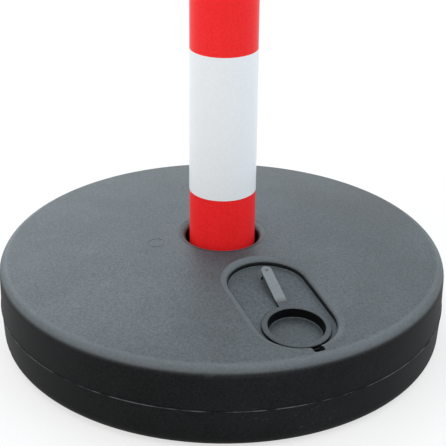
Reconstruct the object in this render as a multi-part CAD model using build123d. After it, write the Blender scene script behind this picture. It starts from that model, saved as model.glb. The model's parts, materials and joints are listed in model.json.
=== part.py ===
"""Fillable post base: a hollow round base with a tethered filler plug, and the banded post that stands in it.

Millimetres, +Z up. The origin is on the post's axis, on the ground under the base.
"""
import math
import os

from build123d import *

# Base: two half shells that meet at the girth line
shell_wall = 4.0
girth_radius = 205.0
girth_height = 38.0
upper_draft = 0.4
lower_draft = 2.0
edge_height = 78.0
crown_rise = 19.3
shoulder_round = 12.0
bottom_round = 12.0
foot_ring_width = 41.0
foot_recess = 2.0
bead_width = 0.5
bead_height = 1.0
lap_height = 8.0
lap_thickness = 2.5
lap_gap = 0.3

# Socket for the post
socket_gap = 0.7
socket_draft = 3.2
mouth_round = 5.7
mouth_line_width = 0.7
mouth_line_depth = 0.2
collar_height = 8.0
collar_wall = 3.0
collar_gap = 0.6

# Recess in the crown, with the filler neck at its outer end and a notch to lift the plug by
recess_azimuth = -65.05
recess_turn = 2.55
recess_radius = 35.1
recess_depth = 9.3
recess_land = 1.8
mouth_land = 13.4
lip_width = 6.1
lip_drop = 2.8
lip_round = 4.6
recess_foot_round = 0.6
neck_length = 8.7
neck_wall = 4.0
notch_width = 10.0
notch_reach = 10.0
notch_depth = 3.0
notch_ledge = 0.5
notch_round = 2.0

# Thin round mark that an insert in the mould leaves on the crown
mark_azimuth = -160.2
mark_reach = 63.3
mark_radius = 7.8
mark_depth = 0.2
mark_width = 0.7

# Filler plug
plug_shift = 3.2
ring_margin = 5.4
ring_height = 2.7
ring_seat_width = 2.7
ring_edge_round = 0.8
ring_outer_round = 1.3
plug_seat_gap = 0.3
plug_gap = 0.6
plug_taper = 1.4
plug_depth = 7.5
plug_wall = 2.0
dish_round = 1.0
tab_length = 6.5

# Tether strap and the anchor that holds it to the base
strap_turn = 3.4
strap_width = 10.0
strap_thickness = 2.0
strap_length = 34.0
strap_edge_round = 0.5
hinge_gap = 0.6
anchor_offset = 5.4
anchor_rise = 9.1
stud_radius = 2.6
stud_hole_gap = 0.2
stud_well_radius = 4.4
stud_well_depth = 3.4
stud_collar_radius = 3.8
stud_collar_height = 1.0
barb_length = 6.0
barb_overhang = 0.8
barb_tip_radius = 1.4
dimple_radius = 2.0
dimple_depth = 0.8

# Post, with its two end plugs and its white bands
post_radius = 30.0
post_wall = 3.0
post_seat_gap = 0.3
foot_flange = 3.0
spigot_length = 20.0
spigot_wall = 2.5
spigot_gap = 0.1
cap_edge = 3.0
cap_rise = 5.0
film_thickness = 0.15
film_gap = 0.05
first_band_height = 142.0
band_height = 133.0
top_zone_height = 133.0
band_names = ("lower", "middle", "upper")

# Base sizes that follow from the ones above
wall_top_radius = girth_radius - upper_draft
foot_radius = girth_radius - lower_draft
foot_ring_inner = foot_radius - bottom_round - foot_ring_width
crown_height = edge_height + crown_rise
crown_curve = (wall_top_radius**2 + crown_rise**2) / (2 * crown_rise)
crown_centre = crown_height - crown_curve
crown_radius = (wall_top_radius - shoulder_round) * crown_curve / (crown_curve - shoulder_round)
socket_floor = foot_recess + shell_wall
socket_floor_radius = post_radius + socket_gap
socket_mouth_radius = socket_floor_radius + socket_draft

# Recess, plug and strap sizes that follow from the ones above
recess_outer_reach = crown_radius - recess_land - lip_width - recess_radius
recess_inner_reach = socket_mouth_radius + mouth_round + mouth_land + lip_width + recess_radius
recess_length = recess_outer_reach - recess_inner_reach
recess_middle = (recess_outer_reach + recess_inner_reach) / 2
plug_offset = recess_length / 2 + plug_shift
ring_radius = recess_radius - ring_margin
neck_radius = ring_radius - ring_seat_width
ring_top = plug_seat_gap + ring_height
tab_end = ring_radius + tab_length
anchor_distance = strap_length + anchor_offset
strap_slope = math.degrees(math.asin((anchor_rise - ring_top) / anchor_distance))
stud_reach = tab_end + anchor_distance * math.cos(math.radians(strap_slope))

# Post heights that follow from the ones above
post_foot_height = socket_floor + post_seat_gap
tube_foot_height = post_foot_height + foot_flange
last_band_top = first_band_height + (2 * len(band_names) - 1) * band_height
tube_top_height = last_band_top + top_zone_height


def crown_z(radius, inset=0.0):
    """Height of the crowned top at a radius, or of its underside when the inset is a wall thickness."""
    return crown_centre + math.sqrt((crown_curve - inset) ** 2 - radius**2)


def crown_place(azimuth, radius):
    """Frame on the crowned top, with +X outwards and +Z square to the surface."""
    tilt = math.degrees(math.asin(radius / crown_curve))
    return Rot(0, 0, azimuth) * Pos(radius, 0, crown_z(radius)) * Rot(0, tilt, 0)


# The recess lies parallel to the crown at its middle; its frame sits on its floor
recess_place = crown_place(recess_azimuth, recess_middle) * Rot(0, 0, -recess_turn) * Pos(0, 0, -recess_depth)
# The plug's frame sits on the same floor at the neck's axis, with +X along the strap towards the anchor
plug_place = recess_place * Pos(plug_offset, 0, 0) * Rot(0, 0, 180 - strap_turn)
# The strap's frame lies in the strap's top face, at its fold beside the plug, with +X along the strap
strap_place = plug_place * Pos(tab_end, 0, ring_top) * Rot(0, -strap_slope, 0)
# The stud's frame sits on the floor of the small well that its collar stands in
stud_place = plug_place * Pos(stud_reach, 0, -stud_well_depth)


def crown_arc(start_radius, end_radius, inset=0.0):
    """Arc of the crowned top, or of its underside, between two radii."""
    radii = (start_radius, (start_radius + end_radius) / 2, end_radius)
    return ThreePointArc(*[(radius, crown_z(radius, inset)) for radius in radii])


def rounded(section, corner, radius):
    """Flat section with the corner nearest to a point rounded off."""
    return fillet(section.vertices().sort_by_distance(Vector(*corner))[0], radius)


def turned(section):
    """Solid of revolution about Z of a section drawn as radius and height."""
    return revolve(Plane.XZ * section, Axis.Z)


def disc(place, radius, foot, top):
    """Round bar along the normal of a frame, between two heights above its origin."""
    return extrude(place * Pos(0, 0, foot) * Circle(radius), top - foot)


def flat_bar(place, start, end, width, foot, top):
    """Rectangular bar along the X axis of a frame, between two distances and two heights."""
    return extrude(place * Pos((start + end) / 2, 0, foot) * Rectangle(end - start, width), top - foot)


def crown_shell():
    """Crowned top, shoulder, upper wall and post socket as one turned wall."""
    mouth = (socket_mouth_radius, crown_z(socket_mouth_radius))
    shoulder = (wall_top_radius, edge_height)
    girth = (girth_radius, girth_height)
    inner_girth = (girth_radius - shell_wall, girth_height)
    inner_shoulder_radius = wall_top_radius - shell_wall
    inner_shoulder = (inner_shoulder_radius, crown_z(inner_shoulder_radius, shell_wall))
    inner_mouth_radius = socket_mouth_radius + shell_wall
    inner_mouth = (inner_mouth_radius, crown_z(inner_mouth_radius, shell_wall))
    socket_foot = (socket_floor_radius, socket_floor)
    tube_foot = (socket_floor_radius + shell_wall, socket_floor)
    section = make_face([
        Line(socket_foot, mouth),
        crown_arc(socket_mouth_radius, wall_top_radius),
        Line(shoulder, girth),
        Line(girth, inner_girth),
        Line(inner_girth, inner_shoulder),
        crown_arc(inner_shoulder_radius, inner_mouth_radius, shell_wall),
        Line(inner_mouth, tube_foot),
        Line(tube_foot, socket_foot),
    ])
    section = rounded(section, mouth, mouth_round)
    section = rounded(section, shoulder, shoulder_round)
    section = rounded(section, inner_shoulder, shoulder_round - shell_wall)
    section = rounded(section, inner_mouth, mouth_round - shell_wall)
    return turned(section)


def crown_envelope():
    """Everything under the crowned top, which trims what is moulded to the underside of the crown."""
    shoulder = (wall_top_radius, edge_height)
    girth = (girth_radius, girth_height)
    section = make_face([
        Line((0, girth_height), girth),
        Line(girth, shoulder),
        crown_arc(wall_top_radius, 0),
        Line((0, crown_height), (0, girth_height)),
    ])
    return turned(rounded(section, shoulder, shoulder_round))


def build_upper_shell():
    """Upper half of the base: recess with its sloping lip, filler neck, notch, anchor's well and the mould's marks."""
    over_crown = 2 * recess_depth
    tray_outline = SlotCenterToCenter(recess_length, 2 * (recess_radius + shell_wall))
    tray = extrude(recess_place * Pos(0, 0, -shell_wall) * tray_outline, shell_wall + over_crown)
    pocket = extrude(recess_place * SlotCenterToCenter(recess_length, 2 * recess_radius), over_crown)
    pocket_floor = pocket.faces().sort_by(recess_place.z_axis)[0]
    pocket = fillet(pocket_floor.edges(), recess_foot_round)
    neck = disc(plug_place, neck_radius + neck_wall, -neck_length, 0)
    stud_boss = disc(stud_place, stud_well_radius + shell_wall, -shell_wall, stud_well_depth)

    notch_end = recess_radius - plug_shift + notch_reach
    notch_start = neck_radius + neck_wall + notch_ledge
    notch_place = recess_place * Pos(plug_offset, 0, 0) * Rot(0, 0, recess_turn)
    notch = flat_bar(notch_place, notch_start, notch_end, notch_width, -notch_depth, over_crown)
    notch_corners = notch.edges().filter_by(notch_place.z_axis).sort_by(notch_place.x_axis)[-2:]
    notch = fillet(notch_corners, notch_round)
    boss_width = notch_width + 2 * shell_wall
    boss_foot = -notch_depth - shell_wall
    notch_boss = flat_bar(notch_place, neck_radius, notch_end + shell_wall, boss_width, boss_foot, over_crown)

    shell = crown_shell() + ((tray + notch_boss) & crown_envelope()) + neck + stud_boss - pocket
    lip = [edge for edge in shell.edges() if is_recess_edge(edge, 0)]
    crown = max(shell.faces().filter_by(lambda face: lip[0] in face.edges()), key=lambda face: face.area)
    shell = chamfer(lip, lip_width, lip_drop, reference=crown)
    shell = fillet([edge for edge in shell.edges() if is_recess_edge(edge, lip_drop)], lip_round)
    shell -= notch
    shell -= disc(plug_place, neck_radius, -2 * neck_length, over_crown)
    shell -= disc(stud_place, stud_well_radius, 0, 2 * stud_well_depth)
    shell -= disc(stud_place, stud_radius + stud_hole_gap, -2 * shell_wall, shell_wall)
    mark_place = crown_place(mark_azimuth, mark_reach)
    mark_middle = disc(mark_place, mark_radius - mark_width, -shell_wall, shell_wall)
    shell -= disc(mark_place, mark_radius, -mark_depth, shell_wall) - mark_middle
    line_radius = socket_mouth_radius + mouth_round
    line_outer = line_radius + mouth_line_width
    line_foot = crown_z(line_outer) - mouth_line_depth
    line_inside = disc(Location(), line_radius, line_foot, crown_height)
    return shell - (disc(Location(), line_outer, line_foot, crown_height) - line_inside)


def is_recess_edge(edge, drop):
    """Whether an edge runs along the recess wall at a given drop below the crowned top."""
    tolerance = 0.05
    point = edge.position_at(0.5)
    off_crown = (point - Vector(0, 0, crown_centre)).length - crown_curve + drop
    local = recess_place.inverse() * Pos(*point)
    beyond_straight = max(abs(local.position.X) - recess_length / 2, 0)
    off_wall = math.hypot(beyond_straight, local.position.Y) - recess_radius
    return abs(off_crown) < tolerance and abs(off_wall) < tolerance


def build_lower_shell():
    """Lower half of the base: foot ring, bottom skin, wall, weld lap and a collar round the socket's foot."""
    bead_radius = girth_radius + bead_width
    lap_radius = girth_radius - shell_wall - lap_gap
    lap_inner = lap_radius - lap_thickness
    lap_root = girth_height - lap_height
    lean = (girth_radius - foot_radius) / girth_height
    inner_foot_radius = foot_radius + lean * shell_wall - shell_wall
    inner_wall_height = lap_root - lap_thickness
    inner_wall_radius = foot_radius + lean * inner_wall_height - shell_wall
    collar_inner = socket_floor_radius + shell_wall + collar_gap
    collar_outer = collar_inner + collar_wall
    foot_corner = (foot_radius, 0)
    inner_foot_corner = (inner_foot_radius, shell_wall)
    outline = Polyline(
        (0, foot_recess),
        (foot_ring_inner - foot_recess, foot_recess),
        (foot_ring_inner, 0),
        foot_corner,
        (girth_radius - lean * bead_height, girth_height - bead_height),
        (bead_radius, girth_height - bead_height / 2),
        (bead_radius, girth_height),
        (lap_radius, girth_height),
        (lap_radius, girth_height + lap_height),
        (lap_inner, girth_height + lap_height),
        (lap_inner, lap_root),
        (inner_wall_radius, inner_wall_height),
        inner_foot_corner,
        (foot_ring_inner, shell_wall),
        (foot_ring_inner - foot_recess, socket_floor),
        (collar_outer, socket_floor),
        (collar_outer, socket_floor + collar_height),
        (collar_inner, socket_floor + collar_height),
        (collar_inner, socket_floor),
        (0, socket_floor),
        close=True,
    )
    section = make_face(outline)
    section = rounded(section, foot_corner, bottom_round)
    section = rounded(section, inner_foot_corner, bottom_round - shell_wall)
    return turned(section)


def build_filler_plug():
    """Push-in plug: a flat ring round a tapered cup, with the tab that the strap grows from."""
    skirt_radius = neck_radius - plug_gap
    skirt_foot_radius = skirt_radius - plug_taper
    dish_radius = skirt_radius - plug_wall
    dish_foot_radius = skirt_foot_radius - plug_wall
    dish_foot = plug_wall - plug_depth
    ring_edge = (ring_radius, ring_top)
    dish_edge = (dish_radius, ring_top)
    dish_corner = (dish_foot_radius, dish_foot)
    skirt_corner = (skirt_foot_radius, -plug_depth)
    outline = Polyline(
        (0, -plug_depth),
        skirt_corner,
        (skirt_radius, plug_seat_gap),
        (ring_radius, plug_seat_gap),
        ring_edge,
        dish_edge,
        dish_corner,
        (0, dish_foot),
        close=True,
    )
    section = make_face(outline)
    for corner in (dish_edge, skirt_corner):
        section = rounded(section, corner, ring_edge_round)
    section = rounded(section, ring_edge, ring_outer_round)
    section = rounded(section, dish_corner, dish_round)
    tab_foot = ring_top - strap_thickness
    tab = flat_bar(plug_place, neck_radius, tab_end - hinge_gap / 2, strap_width, tab_foot, ring_top)
    return plug_place * turned(section) + tab


def build_tether_strap():
    """Flat strap between its two folds."""
    strap_end = strap_length - hinge_gap / 2
    strap = flat_bar(strap_place, hinge_gap / 2, strap_end, strap_width, -strap_thickness, 0)
    return fillet(strap.edges().filter_by(strap_place.x_axis), strap_edge_round)


def build_tether_anchor():
    """Round end of the strap with a dimple, on a barbed stud that is pushed through the floor of the well."""
    pad_start = strap_length + hinge_gap / 2
    pad = flat_bar(strap_place, pad_start, anchor_distance, strap_width, -strap_thickness, 0)
    pad_end_place = strap_place * Pos(anchor_distance, 0, 0)
    pad += disc(pad_end_place, strap_width / 2, -strap_thickness, 0)
    pad -= disc(pad_end_place, dimple_radius, -dimple_depth, strap_thickness)

    stud_top = stud_well_depth + anchor_rise - strap_thickness / 2
    stud = disc(stud_place, stud_radius, -shell_wall - barb_length / 2, stud_top)
    stud += disc(stud_place, stud_collar_radius, 0, stud_collar_height)
    barb = Cone(barb_tip_radius, stud_radius + barb_overhang, barb_length)
    return pad + stud + stud_place * Pos(0, 0, -shell_wall - barb_length / 2) * barb


def build_post_tube():
    """Plain round tube."""
    tube = disc(Location(), post_radius, tube_foot_height, tube_top_height)
    return tube - disc(Location(), post_radius - post_wall, tube_foot_height, tube_top_height)


def spigot(foot, top):
    """Hollow spigot that fits the bore of the tube."""
    radius = post_radius - post_wall - spigot_gap
    return disc(Location(), radius, foot, top) - disc(Location(), radius - spigot_wall, foot, top)


def build_post_foot():
    """Flanged plug in the foot of the tube, which stands on the socket floor."""
    flange = disc(Location(), post_radius, post_foot_height, tube_foot_height)
    return flange + spigot(tube_foot_height, tube_foot_height + spigot_length)


def build_post_cap():
    """Domed cap with a spigot in the top of the tube."""
    edge_top = tube_top_height + cap_edge
    cap_top = edge_top + cap_rise
    dome_curve = (post_radius**2 + cap_rise**2) / (2 * cap_rise)
    section = make_face([
        Line((0, tube_top_height), (post_radius, tube_top_height)),
        Line((post_radius, tube_top_height), (post_radius, edge_top)),
        RadiusArc((post_radius, edge_top), (0, cap_top), -dome_curve),
        Line((0, cap_top), (0, tube_top_height)),
    ])
    return turned(section) + spigot(tube_top_height - spigot_length, tube_top_height)


def build_white_band(foot):
    """Reflective film round the tube, from a given height."""
    film_inner = post_radius + film_gap
    film = disc(Location(), film_inner + film_thickness, foot, foot + band_height)
    return film - disc(Location(), film_inner, foot, foot + band_height)


pieces = {
    "lower_shell": build_lower_shell(),
    "upper_shell": build_upper_shell(),
    "filler_plug": build_filler_plug(),
    "tether_strap": build_tether_strap(),
    "tether_anchor": build_tether_anchor(),
    "post_foot": build_post_foot(),
    "post_tube": build_post_tube(),
    "post_cap": build_post_cap(),
}
for count, name in enumerate(band_names):
    pieces[f"white_band_{name}"] = build_white_band(first_band_height + 2 * count * band_height)

os.makedirs("parts", exist_ok=True)
for name, piece in pieces.items():
    export_step(piece, f"parts/{name}.step")
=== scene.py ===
import json
import math

import bpy
import numpy as np
from mathutils import Matrix, Vector


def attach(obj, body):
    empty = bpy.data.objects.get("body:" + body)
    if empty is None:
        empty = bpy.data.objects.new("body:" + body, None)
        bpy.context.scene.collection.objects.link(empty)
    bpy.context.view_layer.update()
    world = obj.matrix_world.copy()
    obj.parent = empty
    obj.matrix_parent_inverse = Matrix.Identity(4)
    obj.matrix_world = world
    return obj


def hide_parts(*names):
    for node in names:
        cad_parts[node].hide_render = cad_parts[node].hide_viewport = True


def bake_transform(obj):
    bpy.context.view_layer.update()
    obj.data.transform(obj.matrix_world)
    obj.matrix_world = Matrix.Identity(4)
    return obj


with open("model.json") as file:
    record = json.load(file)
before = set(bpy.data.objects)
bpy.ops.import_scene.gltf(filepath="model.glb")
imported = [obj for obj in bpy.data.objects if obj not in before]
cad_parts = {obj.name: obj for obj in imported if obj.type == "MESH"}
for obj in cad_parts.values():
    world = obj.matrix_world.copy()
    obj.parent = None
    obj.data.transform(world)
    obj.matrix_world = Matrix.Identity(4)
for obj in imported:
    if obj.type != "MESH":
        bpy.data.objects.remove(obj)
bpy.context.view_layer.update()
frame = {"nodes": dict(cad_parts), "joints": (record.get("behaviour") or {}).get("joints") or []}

nodes = frame["nodes"]
joints = {joint["name"]: joint for joint in frame["joints"]}


# Lower half of the base: a hollow moulding of black polyethylene with a low wall, a rolled bottom edge and the ring
# that it stands on. It is welded to the upper half at a thin raised bead, which is painted paler as a painted
# highlight.

def node(tree, kind, inputs=None, **options):
    """Add a node, set its options, then give each named input a value or a link."""
    made = tree.nodes.new("ShaderNode" + kind)
    for option, choice in options.items():
        setattr(made, option, choice)
    for place, given in (inputs or {}).items():
        if isinstance(given, bpy.types.NodeSocket):
            tree.links.new(given, made.inputs[place])
        else:
            made.inputs[place].default_value = given
    return made


def effect_group(name, inputs, outputs):
    """Start a node group whose inputs are numbers, save for the place on the piece, and whose outputs are numbers."""
    tree = bpy.data.node_groups.new(name, "ShaderNodeTree")
    tree.interface.new_socket("Place", in_out="INPUT", socket_type="NodeSocketVector")
    for label, start in inputs.items():
        socket = tree.interface.new_socket(label, in_out="INPUT", socket_type="NodeSocketFloat")
        socket.default_value = start
    for label in outputs:
        tree.interface.new_socket(label, in_out="OUTPUT", socket_type="NodeSocketFloat")
    given = tree.nodes.new("NodeGroupInput").outputs
    result = tree.nodes.new("NodeGroupOutput").inputs
    return tree, given, result


def math_of(tree, operation, first, second=0.0):
    """One step of arithmetic on two values or links."""
    return node(tree, "Math", {0: first, 1: second}, operation=operation).outputs[0]


def ramp(tree, value, start, end, low=0.0, high=1.0):
    """Ease a value from low to high while it goes from start to end."""
    places = {"Value": value, "From Min": start, "From Max": end, "To Min": low, "To Max": high}
    return node(tree, "MapRange", places, interpolation_type="SMOOTHSTEP").outputs["Result"]


def noise(tree, place, scale, detail=2.0, rough=0.5):
    """Soft noise with a given number of lumps to the metre."""
    places = {"Vector": place, "Scale": scale, "Detail": detail, "Roughness": rough}
    return node(tree, "TexNoise", places).outputs[0]


# Moulded skin: fine grain and slow waves as a height in metres, and cloudy tone, each from noise
skin, given, result = effect_group(
    "moulded_skin", {"Grain": 900.0, "Grain Depth": 3e-5, "Wave": 70.0, "Wave Depth": 1e-4, "Cloud": 16.0},
    ("Height", "Tone", "Dullness"))
grain = noise(skin, given["Place"], given["Grain"], 2.0, 0.6)
wave = noise(skin, given["Place"], given["Wave"], 1.0, 0.4)
cloud = noise(skin, given["Place"], given["Cloud"], 4.0, 0.55)
grain_height = math_of(skin, "MULTIPLY", grain, given["Grain Depth"])
wave_height = math_of(skin, "MULTIPLY", wave, given["Wave Depth"])
skin.links.new(math_of(skin, "ADD", grain_height, wave_height), result["Height"])
mottle = math_of(skin, "ADD", math_of(skin, "MULTIPLY", grain, 0.6), math_of(skin, "MULTIPLY", cloud, 0.4))
skin.links.new(ramp(skin, mottle, 0.34, 0.66), result["Tone"])
skin.links.new(mottle, result["Dullness"])

# Scuffs: noise drawn out into streaks one way, kept only inside scattered patches
scuffs, given, result = effect_group("scuffs", {"Streak": 60.0, "Patch": 11.0, "Amount": 0.5}, ("Mask",))
streak_scale, streak_turn = (1.0, 14.0, 14.0), (0.4, 0.3, 0.5)
drawn_out = node(scuffs, "Mapping", {"Vector": given["Place"], "Scale": streak_scale, "Rotation": streak_turn})
streak = ramp(scuffs, noise(scuffs, drawn_out.outputs[0], given["Streak"], 2.0, 0.6), 0.62, 0.72)
patch = ramp(scuffs, noise(scuffs, given["Place"], given["Patch"], 2.0, 0.5), 0.56, 0.68)
in_patch = math_of(scuffs, "MULTIPLY", streak, patch)
scuffs.links.new(math_of(scuffs, "MULTIPLY", in_patch, given["Amount"]), result["Mask"])


def paint_over(tree, mask, colour, roughness):
    """Lay a colour and a roughness over what a material has, where a mask is 1."""
    shader = tree.nodes["Principled BSDF"]
    for label, kind, top in (("Base Color", "RGBA", colour), ("Roughness", "FLOAT", roughness)):
        socket = shader.inputs[label]
        under = socket.links[0].from_socket
        mix = tree.nodes.new("ShaderNodeMix")
        mix.data_type = kind
        factor, first, second = [place for place in mix.inputs if place.enabled]
        tree.links.new(mask, factor)
        tree.links.new(under, first)
        second.default_value = top
        tree.links.new([place for place in mix.outputs if place.enabled][0], socket)


def moulded_plastic(name, dark, light, gloss, dull, specular, skin_values):
    """Plastic with a moulded skin. The skin's tone picks a colour between dark and light, and its dullness picks a
    roughness between gloss and dull."""
    material = bpy.data.materials.new(name)
    material.use_nodes = True
    tree = material.node_tree
    place = node(tree, "TexCoord").outputs["Object"]
    surface = node(tree, "Group", {"Place": place, **skin_values}, node_tree=skin).outputs
    shader = tree.nodes["Principled BSDF"]
    shader.inputs["Specular IOR Level"].default_value = specular
    colour = node(tree, "ValToRGB", {"Fac": surface["Tone"]})
    colour.color_ramp.elements[0].color = (*dark, 1.0)
    colour.color_ramp.elements[1].color = (*light, 1.0)
    tree.links.new(colour.outputs["Color"], shader.inputs["Base Color"])
    tree.links.new(ramp(tree, surface["Dullness"], 0.3, 0.7, gloss, dull), shader.inputs["Roughness"])
    bump = node(tree, "Bump", {"Height": surface["Height"], "Strength": 1.0, "Distance": 1.0})
    tree.links.new(bump.outputs["Normal"], shader.inputs["Normal"])
    return material, tree, place


def scuff(tree, place, streak, patch, amount, colour, roughness):
    """Lay scuffs over a material, in a paler colour and a roughness of their own."""
    values = {"Place": place, "Streak": streak, "Patch": patch, "Amount": amount}
    paint_over(tree, node(tree, "Group", values, node_tree=scuffs).outputs["Mask"], (*colour, 1.0), roughness)


def dress(name, material):
    """Give a node of the frame its finish."""
    nodes[name].material_slots[0].material = material


shell_dark = (0.0022, 0.0024, 0.0025)
shell_light = (0.0095, 0.0103, 0.0106)
shell_gloss, shell_dull, shell_specular = 0.50, 0.60, 0.07
lower_black, tree, place = moulded_plastic(
    "lower_shell_black", shell_dark, shell_light, shell_gloss, shell_dull, shell_specular,
    {"Grain": 700.0, "Grain Depth": 3e-5, "Wave": 60.0, "Wave Depth": 1.2e-4, "Cloud": 14.0})
scuff(tree, place, streak=55.0, patch=13.0, amount=0.6, colour=(0.045, 0.048, 0.050), roughness=0.6)
# Painted highlight: the bead is painted paler, in broken patches along its length.
bead_height, bead_outer, bead_inner = 0.0375, 0.0008, 0.0003
bead_highlight, bead_highlight_roughness = (0.085, 0.090, 0.092, 1.0), 0.55
height = node(tree, "SeparateXYZ", {0: place}).outputs["Z"]
off_bead = math_of(tree, "ABSOLUTE", math_of(tree, "SUBTRACT", height, bead_height))
bead_patch = ramp(tree, noise(tree, place, 60.0, 3.0), 0.38, 0.62)
bead_highlight_mask = math_of(tree, "MULTIPLY", ramp(tree, off_bead, bead_outer, bead_inner), bead_patch)
paint_over(tree, bead_highlight_mask, bead_highlight, bead_highlight_roughness)
dress("lower_shell", lower_black)


# Upper half of the base: the same black moulding with a crowned top, a rounded shoulder, the flared mouth of the
# socket, and the slot-shaped recess for the filler. Its top has a satin skin with a little settled dust.

# Settled dust: lies where the surface faces up, in soft clouds broken by fine specks
dust, given, result = effect_group(
    "settled_dust", {"Up": 1.0, "Cloud": 22.0, "Speck": 420.0, "Amount": 0.3}, ("Mask",))
facing_up = ramp(dust, given["Up"], 0.25, 0.62)
drift = ramp(dust, noise(dust, given["Place"], given["Cloud"], 4.0, 0.6), 0.30, 0.70, 0.62, 0.84)
speck = ramp(dust, noise(dust, given["Place"], given["Speck"], 2.0, 0.7), 0.30, 0.70, 0.5, 1.0)
lying = math_of(dust, "MULTIPLY", math_of(dust, "MULTIPLY", drift, speck), facing_up)
dust.links.new(math_of(dust, "MULTIPLY", lying, given["Amount"]), result["Mask"])

# Top gloss: a smoother skin where the surface faces up, broken by fine grain and slow clouds
top_gloss, given, result = effect_group("top_gloss", {"Up": 1.0, "Grain": 600.0, "Amount": 1.0}, ("Mask",))
facing_up = ramp(top_gloss, given["Up"], 0.08, 0.50)
gloss_grain = ramp(top_gloss, noise(top_gloss, given["Place"], given["Grain"], 2.0, 0.7), 0.3, 0.7, 0.55, 1.0)
gloss_cloud = ramp(top_gloss, noise(top_gloss, given["Place"], 9.0, 3.0, 0.5), 0.3, 0.7, 0.90, 1.0)
shine = math_of(top_gloss, "MULTIPLY", math_of(top_gloss, "MULTIPLY", gloss_grain, gloss_cloud), facing_up)
top_gloss.links.new(math_of(top_gloss, "MULTIPLY", shine, given["Amount"]), result["Mask"])
dust_colour, dust_roughness = (0.0935, 0.110, 0.118, 1.0), 0.75


def facing(tree):
    """How far the surface faces up in the piece's own frame, 1 on top and 0 on a wall, so that dust, gloss and
    painted highlight turn with it.
    """
    normal = node(tree, "NewGeometry").outputs["Normal"]
    own_normal = node(
        tree, "VectorTransform", {0: normal}, vector_type="NORMAL", convert_from="WORLD", convert_to="OBJECT")
    return node(tree, "SeparateXYZ", {0: own_normal.outputs[0]}).outputs["Z"]


def weather_top(tree, place, cloud, dust_amount, gloss_amount, gloss_rough):
    """Lay dust over a material and gloss into its coat, both by how far the surface faces up."""
    up = facing(tree)
    settled = node(tree, "Group", {"Place": place, "Up": up, "Cloud": cloud, "Amount": dust_amount}, node_tree=dust)
    paint_over(tree, settled.outputs["Mask"], dust_colour, dust_roughness)
    shader = tree.nodes["Principled BSDF"]
    polish = node(tree, "Group", {"Place": place, "Up": up, "Amount": gloss_amount}, node_tree=top_gloss)
    tree.links.new(polish.outputs["Mask"], shader.inputs["Coat Weight"])
    shader.inputs["Coat Roughness"].default_value = gloss_rough


upper_black, tree, place = moulded_plastic(
    "upper_shell_black", shell_dark, shell_light, shell_gloss, shell_dull, shell_specular,
    {"Grain": 650.0, "Grain Depth": 3e-5, "Wave": 55.0, "Wave Depth": 1.2e-4, "Cloud": 12.0})


def measure(tree, operation, first, second):
    """A number from two places or directions: their distance or their dot product."""
    return node(tree, "VectorMath", {0: first, 1: second}, operation=operation).outputs["Value"]


# The recess's floor catches more dust and has lost its gloss. The notch is kept black as painted shade. The masks
# follow the distance from the slot's middle line and the depth below the crown's curve.
recess_middle, recess_half_length, recess_radius = (0.05187, -0.11149, 0.09037), 0.02877, 0.0350
recess_along, recess_across = (0.37840, -0.91881, -0.11228), (0.92443, 0.38133, -0.00500)
crown_middle, crown_radius = (0.0, 0.0, -0.99684), 1.09414
notch_middle, notch_reach, notch_depth = (0.0775, -0.1698, 0.0735), 0.0065, 0.006
wall_blur, notch_blur = 0.0006, 0.002
crown_dust, recess_floor_dust = 0.40, 0.60
crown_gloss, recess_floor_gloss = 0.66, 0.30
from_middle = node(tree, "VectorMath", {0: place, 1: recess_middle}, operation="SUBTRACT").outputs["Vector"]
lengthways = math_of(tree, "ABSOLUTE", measure(tree, "DOT_PRODUCT", from_middle, recess_along))
crossways = measure(tree, "DOT_PRODUCT", from_middle, recess_across)
beyond_line = math_of(tree, "MAXIMUM", math_of(tree, "SUBTRACT", lengthways, recess_half_length), 0.0)
beyond_square = math_of(tree, "MULTIPLY", beyond_line, beyond_line)
crossways_square = math_of(tree, "MULTIPLY", crossways, crossways)
from_line = math_of(tree, "SQRT", math_of(tree, "ADD", beyond_square, crossways_square))
in_recess = ramp(tree, from_line, recess_radius + wall_blur, recess_radius)
depth = math_of(tree, "SUBTRACT", crown_radius, measure(tree, "DISTANCE", place, crown_middle))
deep = ramp(tree, depth, notch_depth - notch_blur, notch_depth)
near_notch = ramp(tree, measure(tree, "DISTANCE", place, notch_middle), notch_reach + notch_blur, notch_reach)
# Painted shade: deep in the notch the dust and the gloss are taken out, so that it stays black.
off_notch_shade = math_of(tree, "SUBTRACT", 1.0, math_of(tree, "MULTIPLY", near_notch, deep))
dust_and_notch_shade = math_of(tree, "MULTIPLY", ramp(tree, in_recess, 0.0, 1.0, crown_dust, recess_floor_dust), off_notch_shade)
gloss_and_notch_shade = math_of(tree, "MULTIPLY", ramp(tree, in_recess, 0.0, 1.0, crown_gloss, recess_floor_gloss), off_notch_shade)
weather_top(tree, place, cloud=18.0, dust_amount=dust_and_notch_shade, gloss_amount=gloss_and_notch_shade, gloss_rough=0.50)

# A painted highlight lies on the leaning edges: the shoulder, the rim of the recess and the flare of the mouth. The
# mask is 1 where the surface leans, and fades out towards the level crown and towards the upright wall.
level_start, level_end, upright_start, upright_end = 0.988, 0.86, 0.28, 0.50
edge_highlight_colour, edge_highlight_roughness, edge_highlight_share = (0.108, 0.124, 0.132, 1.0), 0.6, 0.29
up = facing(tree)
from_level = ramp(tree, up, level_start, level_end)
leaning = math_of(tree, "MULTIPLY", from_level, ramp(tree, up, upright_start, upright_end))
paint_over(tree, math_of(tree, "MULTIPLY", leaning, edge_highlight_share), edge_highlight_colour, edge_highlight_roughness)
scuff(tree, place, streak=50.0, patch=9.0, amount=0.4, colour=(0.04, 0.043, 0.045), roughness=0.58)
dress("upper_shell", upper_black)


# Filler plug: a push-in cup of softer black plastic, a flat ring round a sunk dish, with the tab that its strap grows
# from. It is pressed into the filler neck in the recess.

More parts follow.
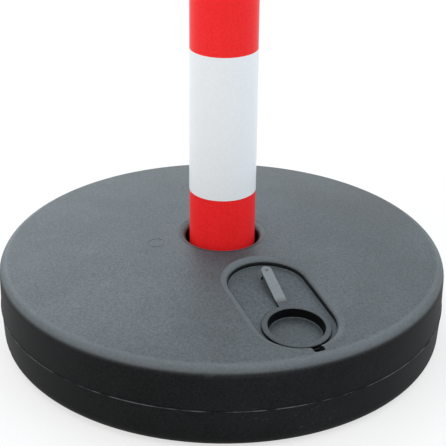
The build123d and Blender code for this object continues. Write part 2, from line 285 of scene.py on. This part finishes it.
plug_black, tree, place = moulded_plastic(
    "filler_plug_black", (0.0012, 0.0013, 0.0014), (0.0034, 0.0036, 0.0038), gloss=0.45, dull=0.55, specular=0.04,
    skin_values={"Grain": 1100.0, "Grain Depth": 2e-5, "Wave": 120.0, "Wave Depth": 5e-5, "Cloud": 40.0})
weather_top(tree, place, cloud=45.0, dust_amount=0.33, gloss_amount=0.46, gloss_rough=0.40)
dress("filler_plug", plug_black)


# Tether: a flat strap of the same soft plastic that keeps the plug from being lost. Its round end, with a dimple,
# sits on a barbed stud pushed into the floor of the recess. It is thin underneath at two folds.

strap_half_width = 0.005
strap_thickness = 0.002
strap_edge = 0.0005
strap_slope = math.radians(8.9065)
pad_offset = 0.0054
dimple_radius = 0.0020
dimple_depth = 0.0008
bowl_reach, bowl_ease = 1.08, 0.5
fold_web, fold_half_width, fold_ease = 0.0009, 0.0004, 0.0014
plug_fold = np.array(joints["plug_flip"]["pos_m"])
anchor_fold = np.array(joints["strap_lift"]["pos_m"])
across = np.array(joints["strap_lift"]["axis"])
strap_length = np.linalg.norm(anchor_fold - plug_fold)
along = (anchor_fold - plug_fold) / strap_length
strap_up = np.cross(along, across)
floor_up = strap_up * math.cos(strap_slope) + along * math.sin(strap_slope)
floor_along = along * math.cos(strap_slope) - strap_up * math.sin(strap_slope)


def mesh_piece(name, points, faces, material, **measures):
    """A mesh object at the origin, smooth but for its sharp edges, with named measures kept on its points."""
    mesh = bpy.data.meshes.new(name)
    mesh.from_pydata(points.reshape(-1, 3).tolist(), [], faces)
    mesh.update()
    mesh.shade_smooth()
    mesh.set_sharp_from_angle(angle=math.radians(50))
    mesh.materials.append(material)
    for label, values in measures.items():
        kept = np.broadcast_to(values, points.shape[:-1]).astype(np.float32).ravel()
        mesh.attributes.new(label, "FLOAT", "POINT").data.foreach_set("value", kept)
    piece = bpy.data.objects.new(name, mesh)
    bpy.context.scene.collection.objects.link(piece)
    return piece


def tube_faces(rings, loop):
    """Quads between successive closed loops of a grid, and one face over each end."""
    ring, turn = np.meshgrid(np.arange(rings - 1), np.arange(loop), indexing="ij")
    onward = (turn + 1) % loop
    here, above = ring * loop, (ring + 1) * loop
    quads = np.stack([here + turn, above + turn, above + onward, here + onward], -1)
    first_end = list(range(loop))
    last_end = list(range(rings * loop - 1, (rings - 1) * loop - 1, -1))
    return quads.reshape(-1, 4).tolist() + [first_end, last_end]


def strap_section(flat_steps=29, corner_steps=5):
    """A rounded rectangle as a loop: for each point its place across the flats (-1 to 1), its corner offset across
    and up (parts of the corner radius), and 1 on the lower face, 0 on the upper."""
    flat = np.linspace(-1, 1, flat_steps)
    turn = np.linspace(math.pi / 2, 0, corner_steps + 2)[1:-1]
    none, corner = np.zeros(flat_steps), np.ones(corner_steps)
    place = np.concatenate([flat, corner, corner, -flat, -corner, -corner])
    out = np.concatenate([none, np.cos(turn), np.cos(turn[::-1]), none, -np.cos(turn), -np.cos(turn[::-1])])
    up = np.concatenate([none + 1, np.sin(turn), -np.sin(turn[::-1]), none - 1, -np.sin(turn), np.sin(turn[::-1])])
    lower = np.concatenate([none, corner * 0, corner, none + 1, corner, corner * 0])
    return place, out, up, lower


def eased(share):
    """An eased step: 0 below 0, 1 above 1, and the cubic 3 s^2 - 2 s^3 of the share s between."""
    held = np.clip(share, 0, 1)
    return held * held * (3 - 2 * held)


def strap_skin(line, ups, half_width, thickness, steps, dimple_step):
    """The strap's section carried along a line on its upper face: width and thickness change along it, and near the
    dimple's step the upper face sinks as a bowl, by an eased curve of the distance from the bowl's middle."""
    place, out, up, lower = strap_section()
    corner = np.minimum(strap_edge, np.minimum(half_width * 0.9, thickness * 0.45))[:, None]
    side = place * (half_width[:, None] - corner) + out * corner
    down = lower * (thickness[:, None] - 2 * corner) + corner * (1 - up)
    off = np.hypot(steps[:, None] - dimple_step, side) / dimple_radius
    bowl = eased((bowl_reach - off) / bowl_ease) * (lower + (1 - up) == 0)
    down += dimple_depth * bowl
    points = line[:, None] + side[..., None] * across - down[..., None] * ups[:, None]
    return points, tube_faces(len(steps), len(place)), bowl


# Painted sheen: the strap is the same black plastic as the plug, and its grey colour is painted light.
strap_grey, tree, place = moulded_plastic(
    "tether_strap_grey", (0.036, 0.040, 0.042), (0.048, 0.053, 0.056), gloss=0.45, dull=0.55, specular=0.30,
    skin_values={"Grain": 1200.0, "Grain Depth": 2e-5, "Wave": 160.0, "Wave Depth": 4e-5, "Cloud": 60.0})
weather_top(tree, place, cloud=80.0, dust_amount=0.23, gloss_amount=0.85, gloss_rough=0.45)
# Near the plug, over the last few millimetres, the painted sheen gives way to the plain black, and the dimple
# is darker
plain_black, dark_reach = (0.012, 0.013, 0.0135, 1.0), 0.0055
from_plug = node(tree, "Attribute", attribute_name="from_plug").outputs["Fac"]
paint_over(tree, ramp(tree, from_plug, dark_reach, 0.0), plain_black, 0.55)
in_dimple = node(tree, "Attribute", attribute_name="in_dimple").outputs["Fac"]
paint_over(tree, ramp(tree, in_dimple, 0.1, 0.9, 0.0, 0.75), plain_black, 0.6)

# Strap from near the plug's fold to the round end: full width, drawn in as a half circle past the pad's middle. Its
# steps are finer at the fold beside the anchor.
pad_middle = strap_length + pad_offset
seam, fine_reach, gap_before, gap_after, tip_share = 0.003, 0.0030, 0.0003, 0.0002, 0.9995
round_off = pad_middle + strap_half_width * np.sin(np.linspace(0, math.pi / 2, 22))
steps = np.concatenate([
    np.linspace(seam, strap_length - fine_reach, 40),
    np.linspace(strap_length - fine_reach + gap_before, strap_length + fine_reach, 20),
    np.linspace(strap_length + fine_reach + gap_after, pad_middle, 9)[:-1],
    round_off[:-1], [pad_middle + strap_half_width * tip_share]])
half_width = np.sqrt(np.clip(strap_half_width**2 - np.clip(steps - pad_middle, 0, None)**2, 0, None))
off_fold = np.abs(steps - strap_length) - fold_half_width
thickness = fold_web + (strap_thickness - fold_web) * eased(off_fold / fold_ease)
line = plug_fold + steps[:, None] * along
ups = np.broadcast_to(strap_up, line.shape)
points, faces, bowl = strap_skin(line, ups, half_width, thickness, steps, pad_middle)
strap = mesh_piece("tether_strap_long", points, faces, strap_grey, from_plug=steps[:, None], in_dimple=bowl)
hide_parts("tether_strap", "tether_anchor")
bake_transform(strap)

# Short web at the plug's fold: the line turns from the tab's slope to the strap's, and the web ends inside the tab
web_start, bend_half_length = -0.0011, 0.0007
tab_cover_start, tab_cover_length, tab_inset, tab_sink = 0.0001, 0.0003, 0.0001, 0.00005
steps = np.linspace(web_start, seam, 36)
slope = strap_slope * eased((steps + bend_half_length) / (2 * bend_half_length))
heading = np.cos(slope)[:, None] * floor_along + np.sin(slope)[:, None] * floor_up
ups = np.cos(slope)[:, None] * floor_up - np.sin(slope)[:, None] * floor_along
stride = np.diff(steps, prepend=steps[0])[:, None] * heading
line = np.cumsum(stride, 0)
line += plug_fold + seam * along - line[-1]
thickness = fold_web + (strap_thickness - fold_web) * eased((steps - fold_half_width) / fold_ease)
inside_tab = np.clip((-tab_cover_start - steps) / tab_cover_length, 0, 1)
half_width = strap_half_width - tab_inset * inside_tab
line = line - tab_sink * inside_tab[:, None] * ups
points, faces, bowl = strap_skin(line, ups, half_width, thickness, steps, pad_middle)
web = mesh_piece("tether_plug_web", points, faces, strap_grey, from_plug=steps[:, None], in_dimple=bowl)
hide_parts("tether_strap")
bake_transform(web)

# Stud under the round end: a turned profile of barb, shank and collar, about the middle of the pad
stud_profile = np.array([
    (0.0003, -0.0134), (0.0011, -0.0134), (0.0014, -0.0131), (0.0033, -0.0075),
    (0.0034, -0.00745), (0.0033, -0.0074), (0.0026, -0.0074), (0.0026, -0.0034),
    (0.0035, -0.0034), (0.0038, -0.0031), (0.0038, -0.0027), (0.0035, -0.0024),
    (0.0029, -0.0024), (0.0026, -0.0021), (0.0026, 0.0081), (0.0003, 0.0081)])
pad_height = 0.0091
turn = np.linspace(0, 2 * math.pi, 48, endpoint=False)
stud_middle = plug_fold + pad_middle * along - pad_height * floor_up
spoke = np.cos(turn)[:, None] * floor_along + np.sin(turn)[:, None] * across
points = stud_middle + stud_profile[:, :1, None] * spoke + stud_profile[:, 1:, None] * floor_up
stud_faces = tube_faces(len(stud_profile), len(turn))
stud = mesh_piece("tether_stud", points, stud_faces, strap_grey, from_plug=pad_middle, in_dimple=0.0)
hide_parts("tether_anchor")
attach(stud, "base")


# Post: a red plastic tube, extruded and coloured through, that stands in the socket. Fine lines from the die run
# along it, and it has a low gloss.

post_red = bpy.data.materials.new("post_red_plastic")
post_red.use_nodes = True
tree = post_red.node_tree
place = node(tree, "TexCoord").outputs["Object"]
shader = tree.nodes["Principled BSDF"]
shader.inputs["Specular IOR Level"].default_value = 0.14
along_post = node(tree, "Mapping", {"Vector": place, "Scale": (1.0, 1.0, 0.015)}).outputs[0]
die_lines = noise(tree, along_post, 420.0, 3.0, 0.6)
red_mottle = noise(tree, place, 700.0, 2.0, 0.6)
die_share, mottle_share, die_depth = 0.2, 0.8, 0.8e-5
die_part = math_of(tree, "MULTIPLY", die_lines, die_share)
red_tone = math_of(tree, "ADD", die_part, math_of(tree, "MULTIPLY", red_mottle, mottle_share))
red = node(tree, "ValToRGB", {"Fac": ramp(tree, red_tone, 0.35, 0.65)})
red.color_ramp.elements[0].color = (0.700, 0.0130, 0.0140, 1.0)
red.color_ramp.elements[1].color = (0.800, 0.0185, 0.0200, 1.0)
tree.links.new(red.outputs["Color"], shader.inputs["Base Color"])
tree.links.new(ramp(tree, red_tone, 0.35, 0.65, 0.30, 0.40), shader.inputs["Roughness"])
die_height = math_of(tree, "MULTIPLY", die_lines, die_depth)
bump = node(tree, "Bump", {"Height": die_height, "Strength": 1.0, "Distance": 1.0})
tree.links.new(bump.outputs["Normal"], shader.inputs["Normal"])
scuff(tree, place, streak=70.0, patch=12.0, amount=0.25, colour=(0.80, 0.16, 0.15), roughness=0.5)
dress("post_tube", post_red)


# Ends of the post: a domed cap on top and a flanged plug in the foot, both moulded in black plastic and pushed into
# the tube's bore.

end_black, tree, place = moulded_plastic(
    "post_end_black", (0.004, 0.0043, 0.0045), (0.010, 0.0106, 0.011), gloss=0.42, dull=0.54, specular=0.20,
    skin_values={"Grain": 1000.0, "Grain Depth": 2.5e-5, "Wave": 120.0, "Wave Depth": 5e-5, "Cloud": 45.0})
scuff(tree, place, streak=90.0, patch=30.0, amount=0.5, colour=(0.05, 0.053, 0.055), roughness=0.6)
weather_top(tree, place, cloud=60.0, dust_amount=0.14, gloss_amount=0.45, gloss_rough=0.45)
dress("post_cap", end_black)
dress("post_foot", end_black)


# White bands: retro-reflective film, stuck round the tube with its ends butted at the back. Under a clear face it has
# a close bed of tiny beads, which shows as a fine speckle.

film_white = bpy.data.materials.new("film_white_beaded")
film_white.use_nodes = True
tree = film_white.node_tree
place = node(tree, "TexCoord").outputs["Object"]
shader = tree.nodes["Principled BSDF"]
shader.inputs["Specular IOR Level"].default_value = 0.45
shader.inputs["Coat Weight"].default_value = 0.25
shader.inputs["Coat Roughness"].default_value = 0.12
bead_cells = node(tree, "TexVoronoi", {"Vector": place, "Scale": 850.0}, feature="F1").outputs["Color"]
bead_tone = node(tree, "SeparateColor", {0: bead_cells}).outputs[0]
film_cloud = noise(tree, place, 30.0, 3.0, 0.5)
bead_share, cloud_share, bead_depth = 0.55, 0.45, 1.2e-5
bead_part = math_of(tree, "MULTIPLY", bead_tone, bead_share)
film_tone = math_of(tree, "ADD", bead_part, math_of(tree, "MULTIPLY", film_cloud, cloud_share))
white = node(tree, "ValToRGB", {"Fac": film_tone})
white.color_ramp.elements[0].color = (0.648, 0.663, 0.674, 1.0)
white.color_ramp.elements[1].color = (0.708, 0.724, 0.736, 1.0)
tree.links.new(white.outputs["Color"], shader.inputs["Base Color"])
tree.links.new(ramp(tree, film_tone, 0.2, 0.8, 0.34, 0.44), shader.inputs["Roughness"])
film_relief = math_of(tree, "MULTIPLY", bead_tone, bead_depth)
bump = node(tree, "Bump", {"Height": film_relief, "Strength": 1.0, "Distance": 1.0})
tree.links.new(bump.outputs["Normal"], shader.inputs["Normal"])
off_axis = node(tree, "SeparateXYZ", {0: place}).outputs
butt_outer, butt_inner = 0.0005, 0.0002
on_line = ramp(tree, math_of(tree, "ABSOLUTE", off_axis["X"]), butt_outer, butt_inner)
butt_line = math_of(tree, "MULTIPLY", on_line, ramp(tree, off_axis["Y"], 0.0, 0.01))
paint_over(tree, butt_line, (0.32, 0.30, 0.29, 1.0), 0.6)
for band in ("lower", "middle", "upper"):
    dress("white_band_" + band, film_white)


# Floor: a wide plain pale sheet under the base. The camera and reflections see it mostly as plain white, and it keeps
# a light shadow of the object.

def seen_ray(tree):
    """1 for what the camera, a reflection or a clear piece sees, and 0 for the light that falls on the object."""
    ray = node(tree, "LightPath").outputs
    seen_or_mirrored = math_of(tree, "MAXIMUM", ray["Is Camera Ray"], ray["Is Glossy Ray"])
    return math_of(tree, "MAXIMUM", seen_or_mirrored, ray["Is Transmission Ray"])


floor_half, floor_drop = 8.0, 0.0004
white_share = 0.66
floor_material = bpy.data.materials.new("floor_pale")
floor_material.use_nodes = True
tree = floor_material.node_tree
shader = tree.nodes["Principled BSDF"]
shader.inputs["Base Color"].default_value = (0.50, 0.47, 0.455, 1.0)
shader.inputs["Roughness"].default_value = 0.9
shader.inputs["Specular IOR Level"].default_value = 0.0
plain_white = node(tree, "Emission", {"Color": (1.0, 1.0, 1.0, 1.0), "Strength": 1.0})
seen_white = math_of(tree, "MULTIPLY", seen_ray(tree), white_share)
shown = node(tree, "MixShader", {0: seen_white, 1: shader.outputs[0], 2: plain_white.outputs[0]})
tree.links.new(shown.outputs[0], tree.nodes["Material Output"].inputs["Surface"])
floor_corners = np.array([(-1, -1), (1, -1), (1, 1), (-1, 1)]) * floor_half
points = np.column_stack([floor_corners, np.full(4, -floor_drop)])
floor = mesh_piece("floor", points, [[0, 1, 2, 3]], floor_material)


# Light: four wide soft lamps like parts of a pale sky, one high up, one behind on the left, one on the right and one
# in front on the left, in a pale surround that shows as white.

def soft_lamp(name, bearing, elevation, spread, strength, colour):
    """A lamp far away at a bearing clockwise from straight behind the object, seen as a disc of a given width."""
    lamp = bpy.data.lights.new(name, "SUN")
    lamp.energy = strength
    lamp.angle = math.radians(spread)
    lamp.color = colour
    turn, lift = math.radians(bearing), math.radians(elevation)
    toward = Vector((math.sin(turn) * math.cos(lift), math.cos(turn) * math.cos(lift), math.sin(lift)))
    holder = bpy.data.objects.new(name, lamp)
    holder.rotation_euler = toward.to_track_quat("Z", "Y").to_euler()
    bpy.context.scene.collection.objects.link(holder)


soft_lamp("sky_above", bearing=30.0, elevation=74.0, spread=100.0, strength=2.6, colour=(0.80, 0.95, 1.06))
soft_lamp("sky_left", bearing=-34.0, elevation=38.0, spread=64.0, strength=2.0, colour=(0.84, 0.96, 1.06))
soft_lamp("sky_right", bearing=104.0, elevation=46.0, spread=76.0, strength=1.9, colour=(0.88, 0.96, 1.03))
soft_lamp("sky_front", bearing=-135.0, elevation=46.0, spread=76.0, strength=2.3, colour=(1.0, 0.98, 0.96))

surround = bpy.data.worlds.new("pale_surround")
surround.use_nodes = True
bpy.context.scene.world = surround
tree = surround.node_tree
fill_strength, shown_strength = 0.2, 1.0
background = tree.nodes["Background"].inputs
background["Color"].default_value = (1.0, 1.0, 1.0, 1.0)
tree.links.new(ramp(tree, seen_ray(tree), 0.0, 1.0, fill_strength, shown_strength), background["Strength"])
bpy.context.scene.view_settings.view_transform = "Standard"


# Camera: stands in front of the base, a little above it, and looks down at it. Its place and turn were worked out
# from the base's outline, the mouth and the recess in a square picture of 446 by 446.

camera_place = (0.00667, -1.0727, 0.6317)
yaw, pitch, roll = (math.radians(turn) for turn in (-0.316, 26.116, 0.60))
focal_pixels, picture_side, sensor_width = 1299.4, 446.0, 36.0
view_along = Vector((math.sin(yaw) * math.cos(pitch), math.cos(yaw) * math.cos(pitch), -math.sin(pitch)))
level_right = Vector((math.cos(yaw), -math.sin(yaw), 0.0))
level_up = level_right.cross(view_along)
view_right = level_right * math.cos(roll) + level_up * math.sin(roll)
view_up = level_up * math.cos(roll) - level_right * math.sin(roll)
lens = bpy.data.cameras.new("camera")
lens.sensor_width = sensor_width
lens.lens = focal_pixels * sensor_width / picture_side
lens.clip_start = 0.01
lens.clip_end = 100.0
camera = bpy.data.objects.new("camera", lens)
camera.matrix_world = Matrix.LocRotScale(
    Vector(camera_place), Matrix((view_right, view_up, -view_along)).transposed(), None)
bpy.context.scene.collection.objects.link(camera)
bpy.context.scene.camera = camera
